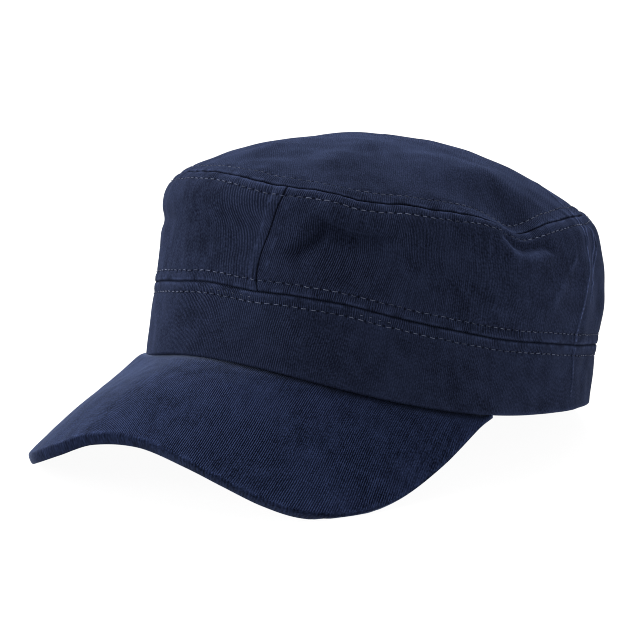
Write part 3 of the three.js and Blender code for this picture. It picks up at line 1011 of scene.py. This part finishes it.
# Painted shade: beside the band, less of it at the right, on the lip, more at its foot, and underneath.
SEAM_SHADE, SEAM_SHADE_WIDTH, SEAM_PALER = 0.75, 3.5, 0.3
LIP_SHADE, LIP_FOOT_SHADE, UNDER_SHADE = 0.3, 0.42, 0.5
LIP_PLAIN, LIP_FOOT_PLAIN, UNDER_PLAIN, LEFT_PLAIN = 0.78, 0.17, 0.7, 0.6
down_lip = lip_turn / np.pi
cloth_map = flat[:, :1] + (flat[:, 1:] - flat[:, :1]) * share[:, None]
cloth_map[..., 0] += PEAK_DRIFT * np.maximum(-cloth_map[..., 1] - PEAK_DRIFT_FROM, 0) ** 2
ridge_heading = np.array([np.sin(np.radians(PEAK_LEAN)), np.cos(np.radians(PEAK_LEAN))])
lip_start = np.stack([LIP_CLOSENESS * run_along(outer), np.full(PEAK_COLUMNS, -2 * front_width)], -1)
cloth_map[:, on_lip] = lip_start[:, None] - (PEAK_THICKNESS * down_lip)[:, None] * ridge_heading
stitch_map = np.zeros(cloth_map.shape) + NO_STITCHES
edge_wear_and_sheen, shade, washed = np.zeros((3, *cloth_map.shape[:2]))
rubbed = EDGE_RUBBED * patches(outer, 9, 37, middle=0.5, swing=0.6)[:, None]
# The rubbed edge, and the painted sheen on the right side.
edge_wear_and_sheen[:, on_top] = rubbed * bell(from_edge / EDGE_RUBBED_WIDTH) + RIGHT_PAINTED_SHEEN * change["rubbed"][:, None]
edge_wear_and_sheen[:, on_lip] = rubbed * bell(PEAK_THICKNESS * down_lip / EDGE_RUBBED_WIDTH)
# Painted shade beside the band, on the lip and underneath.
beside_band = np.clip(1 - (from_seat - PEAK_SEAT) / SEAM_SHADE_WIDTH, 0, 1)
shade[:, on_top] = SEAM_SHADE * beside_band * (1 - SEAM_PALER * change["paler_seam"])[:, None]
shade[:, on_lip] = LIP_SHADE + LIP_FOOT_SHADE * ramp(down_lip, 0.5, 0.95)
shade[:, underneath] = UNDER_SHADE
washed[:] = (change["plain_right"] + LEFT_PLAIN * change["plain_left"])[:, None]
washed[:, on_lip] = LIP_PLAIN + LIP_FOOT_PLAIN * ramp(down_lip, 0.2, 0.6)
washed[:, underneath] = UNDER_PLAIN
peak = sew("peak_sheet", points, cloth_map, stitch_map, edge_wear_and_sheen, shade, washed)
peak_twill = twill(
    "peak_twill", lean=PEAK_LEAN, sway=0.06, contrast=0.9, spacing=0.82, beads=0.25, grain=0.85, streaks=0.35,
    tones=(0.18, 2.5), tint=(0.89, 0.97, 1.12), sheen=(0.29, 0.3), nap=(0.52, 0.64, 1),
)
finish_piece(peak, peak_twill, "peak")

# The topstitching is navy thread in four rows, two beside each seam that goes right round, the darkest on the
# top, and short stretches of a second row on the band. Each stitch is a short twist of thread that comes up
# through the cloth and goes down again.

STITCH_LENGTH = 2.5
STITCH_RADIUS = 0.19
STITCH_RISE, STITCH_DIVE = 0.24, 1.9  # how far its middle stands out, and how many times that its ends sink
PITCH_STRAY = 0.04  # shares of a stitch by which stitches are unevenly spaced
LENGTH_STRAY = (0.85, 1.12)
PLACE_STRAY = 0.12
ALL_ROUND = [(-180, 180)]


def stitch_row(seed, name, seam, rows, line, edge, length=STITCH_LENGTH, spans=ALL_ROUND):
    """A row of stitches beside a seam, between two rows of the cap. line is its distance from the lower of
    them, or below 0 from the upper one, and edge gives the height of the cloth there."""
    draw = np.random.default_rng(seed)
    counted = along_seam(seam, ROUND_ANGLES)[1]
    count = round(counted[-1])
    middle = np.arange(count) + 0.5 + draw.uniform(-PITCH_STRAY, PITCH_STRAY, count)
    bearing = np.interp(middle, counted, ROUND_ANGLES)
    middle = middle[np.any([(bearing > first) & (bearing < last) for first, last in spans], 0)]
    half = (0.5 * length / STITCH_PITCH[seam]) * draw.uniform(*LENGTH_STRAY, len(middle))
    stray = draw.normal(0, PLACE_STRAY, (len(middle), 3))
    spots = []
    for k, place in enumerate((middle - half, middle, middle + half)):
        shares = (np.interp(place, counted, ROUND_ANGLES) + 180) / 360
        angle, row, low, high = lines_of_cloth(
            right_round, shares, *rows, lambda size: (line if line > 0 else size + line) + stray[:, k:k + 1]
        )
        height = form_height(angle, row, skin(angle, row)) + edge(angle, low, high)
        spots.append((on_cap(angle, row, height)[:, 0], skin_facing(angle, row)[:, 0]))
    (start, _), (centre, up), (finish, _) = spots
    side = np.cross(up, unit(finish - start))

    # A ball, drawn out along each stitch.
    bpy.ops.object.select_all(action="DESELECT")
    bpy.ops.mesh.primitive_uv_sphere_add(segments=6, ring_count=6, radius=1)
    bead = bpy.context.object
    ball = np.array([corner.co for corner in bead.data.vertices])
    faces = [list(face.vertices) for face in bead.data.polygons]
    bpy.data.objects.remove(bead)
    t = ball[:, 2]
    path = centre[:, None] + (finish - start)[:, None] / 2 * t[:, None]
    sag = ((start + finish) / 2 - centre)[:, None] * (t**2)[:, None]
    lift = up[:, None] * (STITCH_RISE * (1 - STITCH_DIVE * t**2))[:, None]
    girth = STITCH_RADIUS * np.sqrt(np.clip(1 - t**6, 0, 1))
    girth = girth / np.maximum(np.hypot(ball[:, 0], ball[:, 1]), 1e-6)
    ring = (side[:, None] * ball[:, :1] + up[:, None] * ball[:, 1:2]) * girth[:, None]
    corners = (path + sag + lift + ring).reshape(-1, 3) * MM + shift
    mesh = bpy.data.meshes.new(name)
    shifted = [[corner + k * len(ball) for corner in face] for k in range(len(centre)) for face in faces]
    mesh.from_pydata(corners, [], shifted)
    twist = np.arctan2(ball[:, 1], ball[:, 0]) / (2 * np.pi)
    thread_map = np.stack([t, twist], -1)[corner_points(mesh) % len(ball)]
    mesh.uv_layers.new(name="cloth").uv.foreach_set("vector", thread_map.ravel())
    mesh.shade_smooth()
    piece = bpy.data.objects.new(name, mesh)
    bpy.context.scene.collection.objects.link(piece)
    return piece


THREAD_DARK = np.array([0.028, 0.036, 0.066])
THREAD_PALE = np.array([0.145, 0.168, 0.25])
STRANDS, TWISTS = 2, 2.5
FADED_PATCHES = 90.0  # in a metre


def thread(name, shade):
    """Cotton thread of two twisted strands, faded in patches. shade is how pale it is."""
    material, tree, surface = new_material(name)
    along, around = map_axes(tree, "cloth")
    strand = sine(along * TWISTS + around * STRANDS)
    place = add_node(tree, "ShaderNodeTexCoord", {}, {}, 3)
    patch = add_node(tree, "ShaderNodeTexNoise", {}, {"Vector": place, "Scale": FADED_PATCHES})
    faded = strand * 0.45 + smooth_range(patch, 0.36, 0.64, -0.15, 0.55)
    connect(surface, {
        "Base Color": blend(faded, (*THREAD_DARK * shade, 1), (*THREAD_PALE * shade, 1)),
        "Normal": add_node(tree, "ShaderNodeBump", {}, {"Height": strand, "Distance": 0.1 * MM}),
        "Roughness": 0.75,
        "Specular IOR Level": 0.1,
    })
    return material


SECOND_ROW = {"line": -2.6, "length": 1.3, "spans": [(-6, 9), (36, 46)]}
pale_thread, dark_thread = thread("pale_navy_thread", 1.0), thread("dark_navy_thread", 0.8)
on_band = {"seam": BAND_SEAM, "rows": (RIM, BAND_SEAM), "edge": band_edge}
on_wall = {"rows": (BAND_SEAM, TOP_SEAM), "edge": wall_edge}
STITCH_ROWS = {
    "stitches_band": {**on_band, "line": -STITCH_LINE},
    "stitches_wall_low": {**on_wall, "seam": BAND_SEAM, "line": STITCH_LINE},
    "stitches_wall_high": {**on_wall, "seam": TOP_SEAM, "line": -STITCH_LINE},
    "stitches_top": {"seam": TOP_SEAM, "rows": (TOP_SEAM, CENTRE), "edge": top_edge, "line": TOP_STITCH_LINE},
    "stitches_band_second": {**on_band, **SECOND_ROW},
}
for seed, (name, place) in enumerate(STITCH_ROWS.items()):
    stitches = stitch_row(seed, name, **place)
    finish_piece(stitches, dark_thread if name == "stitches_top" else pale_thread)

# The cap stands on a plain pale floor in soft light, seen from the front towards its left side.

FLOOR_SIZE = 30  # metres
FLOOR_GREY, FLOOR_GLOW = 0.1, 0.95
bpy.ops.object.select_all(action="DESELECT")
bpy.ops.mesh.primitive_plane_add(size=FLOOR_SIZE)
floor = bpy.context.object
floor.name = "floor"
floor_material, _, floor_surface = new_material("pale_floor")
connect(floor_surface, {
    "Base Color": (FLOOR_GREY, FLOOR_GREY, FLOOR_GREY, 1),
    "Roughness": 0.9,
    "Emission Color": (1, 1, 1, 1),
    "Emission Strength": FLOOR_GLOW,
})
floor.data.materials.append(floor_material)
floor.visible_diffuse = False

# Broad soft lamps, named as the picture shows them: bearing from the front towards the wearer's left,
# elevation, and strength.
LAMPS = {
    "left_front_low": (315, 12, 3.3),
    "left_low": (270, 12, 0.35),
    "left": (270, 35, 1.75),
    "left_back_high": (240, 62, 3.2),
    "back_high": (180, 62, 0.4),
    "right_back_low": (135, 12, 0.55),
    "right": (90, 20, 0.72),
    "right_high": (100, 62, 0.2),
    "right_front_low": (45, 12, 0.36),
}
LAMP_SPREAD = 45  # degrees


def heading_to(bearing, elevation):
    """The direction from the cap at a bearing and an elevation in degrees."""
    turn, rise = np.radians([bearing, elevation])
    return np.array([np.sin(turn) * np.cos(rise), -np.cos(turn) * np.cos(rise), np.sin(rise)])


for name, (bearing, elevation, strength) in LAMPS.items():
    lamp = bpy.data.lights.new(name, "SUN")
    lamp.energy = strength
    lamp.angle = np.radians(LAMP_SPREAD)
    light = bpy.data.objects.new(name, lamp)
    light.rotation_mode = "QUATERNION"
    light.rotation_quaternion = Vector(heading_to(bearing, elevation)).to_track_quat("Z", "Y")
    bpy.context.scene.collection.objects.link(light)
SKYLINE, OVERHEAD, BELOW = 0.8, 0.02, 0.7  # soft light from all round, from above and from below
world = bpy.data.worlds.new("studio")
world.use_nodes = True
backdrop = world.node_tree.nodes["Background"]
heading = add_node(world.node_tree, "ShaderNodeTexCoord")
height = add_node(world.node_tree, "ShaderNodeSeparateXYZ", {}, {0: heading}, 2)
glow = smooth_range(height, 0.05, 0.12, SKYLINE, OVERHEAD)
connect(backdrop, {"Color": glow * smooth_range(height, -0.06, -0.02, BELOW / SKYLINE, 1.0)})
bpy.context.scene.world = world
bpy.context.scene.view_settings.view_transform = "Standard"
bpy.context.scene.cycles.filter_width = 1.0

CAMERA_AIM = (0, -21.16, 53.8)
CAMERA_DISTANCE = 1692.8
CAMERA_AZIMUTH, CAMERA_ELEVATION = 38, 12.18  # degrees
CAMERA_LENS = 230.6
PICTURE_OFFSET = (-6.86, -1.49)  # from the aim to the middle of the picture, right and up
backward = heading_to(CAMERA_AZIMUTH, CAMERA_ELEVATION)
rightward = heading_to(CAMERA_AZIMUTH + 90, 0)
upright = np.cross(backward, rightward)
eye = np.array(CAMERA_AIM) + backward * CAMERA_DISTANCE
aim = np.array(CAMERA_AIM) + rightward * PICTURE_OFFSET[0] + upright * PICTURE_OFFSET[1]
lens = bpy.data.cameras.new("camera")
lens.lens = CAMERA_LENS
lens.clip_end = 100
camera = bpy.data.objects.new("camera", lens)
camera.location = eye * MM + shift
camera.rotation_mode = "QUATERNION"
camera.rotation_quaternion = Vector(eye - aim).to_track_quat("Z", "Y")
bpy.context.scene.collection.objects.link(camera)
bpy.context.scene.camera = camera
